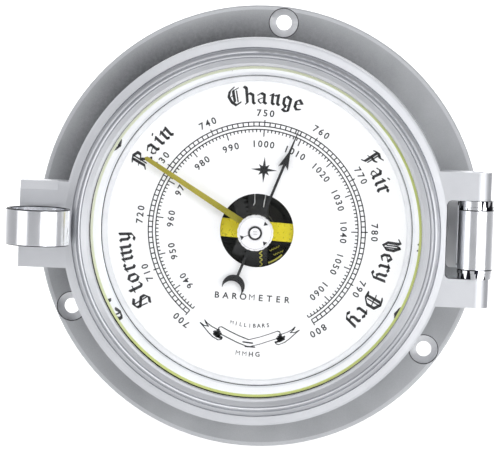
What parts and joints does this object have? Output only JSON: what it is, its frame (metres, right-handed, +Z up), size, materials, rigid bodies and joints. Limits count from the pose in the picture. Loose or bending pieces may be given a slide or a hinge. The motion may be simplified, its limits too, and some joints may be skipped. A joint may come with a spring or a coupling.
{
  "type": "ship barometer",
  "caption": "Wall-mounted ship barometer: flanged drum case, hinged glazed bezel with barrel latch, set hand, geared aneroid movement.",
  "frame": {"origin": "centre of the wall flange's back face", "axes": "+Z up on the wall, +X to the viewer's right, +Y into the wall: the dial faces -Y"},
  "size_m": [0.1652, 0.0523, 0.152],
  "materials": {
    "satin_case": "satin chrome, fine matt",
    "satin_bezel": "satin chrome, brighter",
    "polished_chrome": "polished",
    "mirror_cone": "mirror polished",
    "knob_silver": "turned and polished",
    "dial_ring_satin": "satin",
    "dial_white": "silk white print ground",
    "zinc": "zinc plated",
    "steel": "bright steel",
    "spring_steel": "blued",
    "black_plate": "black",
    "brass": "lacquered yellow",
    "hand_brass": "grooved, lacquered",
    "capsule_metal": "blackened",
    "hand_black": "black gloss",
    "gasket_rubber": "matt",
    "glass": "clear float glass, greenish edge"
  },
  "bodies": {
    "case": {"case_flange": "satin_case", "back_cover": "zinc", "back_screws": "steel", "case_gasket": "gasket_rubber", "hinge_bracket": "polished_chrome", "hinge_screws": "steel", "hinge_pin": "polished_chrome", "hinge_washers": "polished_chrome", "latch_keeper": "satin_case", "keeper_pads": "gasket_rubber", "keeper_screws": "steel", "dial_plate": "dial_white", "dial_ring": "dial_ring_satin", "dial_carrier": "zinc", "carrier_screws": "steel", "carrier_pillars": "brass", "movement_plate": "black_plate", "plate_screws": "steel", "capsule_front_half": "capsule_metal", "capsule_rear_half": "capsule_metal", "adjusting_bush": "brass", "gear_plate": "black_plate", "gear_plate_posts": "brass", "bridge": "brass", "bridge_pillars": "brass", "bridge_screws": "steel", "arbor_bush": "brass", "sector_post": "steel", "sector_clip": "steel", "hairspring": "spring_steel", "hairspring_stud": "brass", "rocker_brackets": "black_plate"},
    "bezel": {"bezel_ring": "satin_bezel", "glass_pane": "glass", "glass_gasket": "gasket_rubber", "reflector_ring": "mirror_cone", "knob_bush": "knob_silver", "bush_nut": "steel"},
    "marker": {"friction_washer": "steel", "set_knob": "knob_silver", "knob_screw": "knob_silver", "set_spindle": "steel", "set_hand": "hand_brass", "set_hand_nut": "hand_brass"},
    "latch": {"latch_barrel": "polished_chrome", "latch_shank": "steel", "latch_washer": "steel", "latch_cam": "steel"},
    "pointer": {"pointer_arbor": "steel", "pointer_pinion": "steel", "hairspring_collet": "brass", "hand_collet": "brass", "pressure_hand": "hand_black"},
    "sector": {"sector_gear": "black_plate", "sector_hub": "black_plate"},
    "rocker": {"rocking_shaft": "black_plate", "capsule_arm": "black_plate", "sector_arm": "black_plate"},
    "capsule": {"capsule_post": "brass"},
    "adjuster": {"adjusting_screw": "brass"}
  },
  "joints": [
    {"name": "bezel_hinge", "type": "hinge", "parent": "case", "child": "bezel", "pos_m": [0.0747, -0.0254, 0], "axis": [0, 0, 1], "range_deg": [0, 110]},
    {"name": "latch_turn", "type": "hinge", "parent": "bezel", "child": "latch", "pos_m": [-0.0735, -0.03, 0], "axis": [0, 1, 0], "range_deg": [0, 90]},
    {"name": "marker_turn", "type": "hinge", "parent": "bezel", "child": "marker", "pos_m": [0, -0.03, 0], "axis": [0, 1, 0], "continuous": true},
    {"name": "pointer_turn", "type": "hinge", "parent": "case", "child": "pointer", "pos_m": [0, -0.02, 0], "axis": [0, 1, 0], "range_deg": [-162.8, 125.8]},
    {"name": "sector_swing", "type": "hinge", "parent": "case", "child": "sector", "pos_m": [-0.0275, -0.018, 0], "axis": [0, 1, 0], "range_deg": [-12.6, 16.3]},
    {"name": "rocker_swing", "type": "hinge", "parent": "case", "child": "rocker", "pos_m": [0, -0.011, -0.005], "axis": [1, 0, 0], "range_deg": [-7, 9]},
    {"name": "capsule_rise", "type": "slide", "parent": "case", "child": "capsule", "axis": [0, 1, 0], "range_m": [-0.0008, 0.00062]},
    {"name": "adjuster_turn", "type": "hinge", "parent": "case", "child": "adjuster", "pos_m": [0, -0.002, 0], "axis": [0, 1, 0], "range_deg": [-360, 360]}
  ],
  "couplings": [
    {"joint": "sector_swing", "follows": "pointer_turn", "ratio": -0.1},
    {"joint": "rocker_swing", "follows": "pointer_turn", "ratio": -0.0552},
    {"joint": "capsule_rise", "follows": "pointer_turn", "m_per_rad": 0.000276}
  ]
}
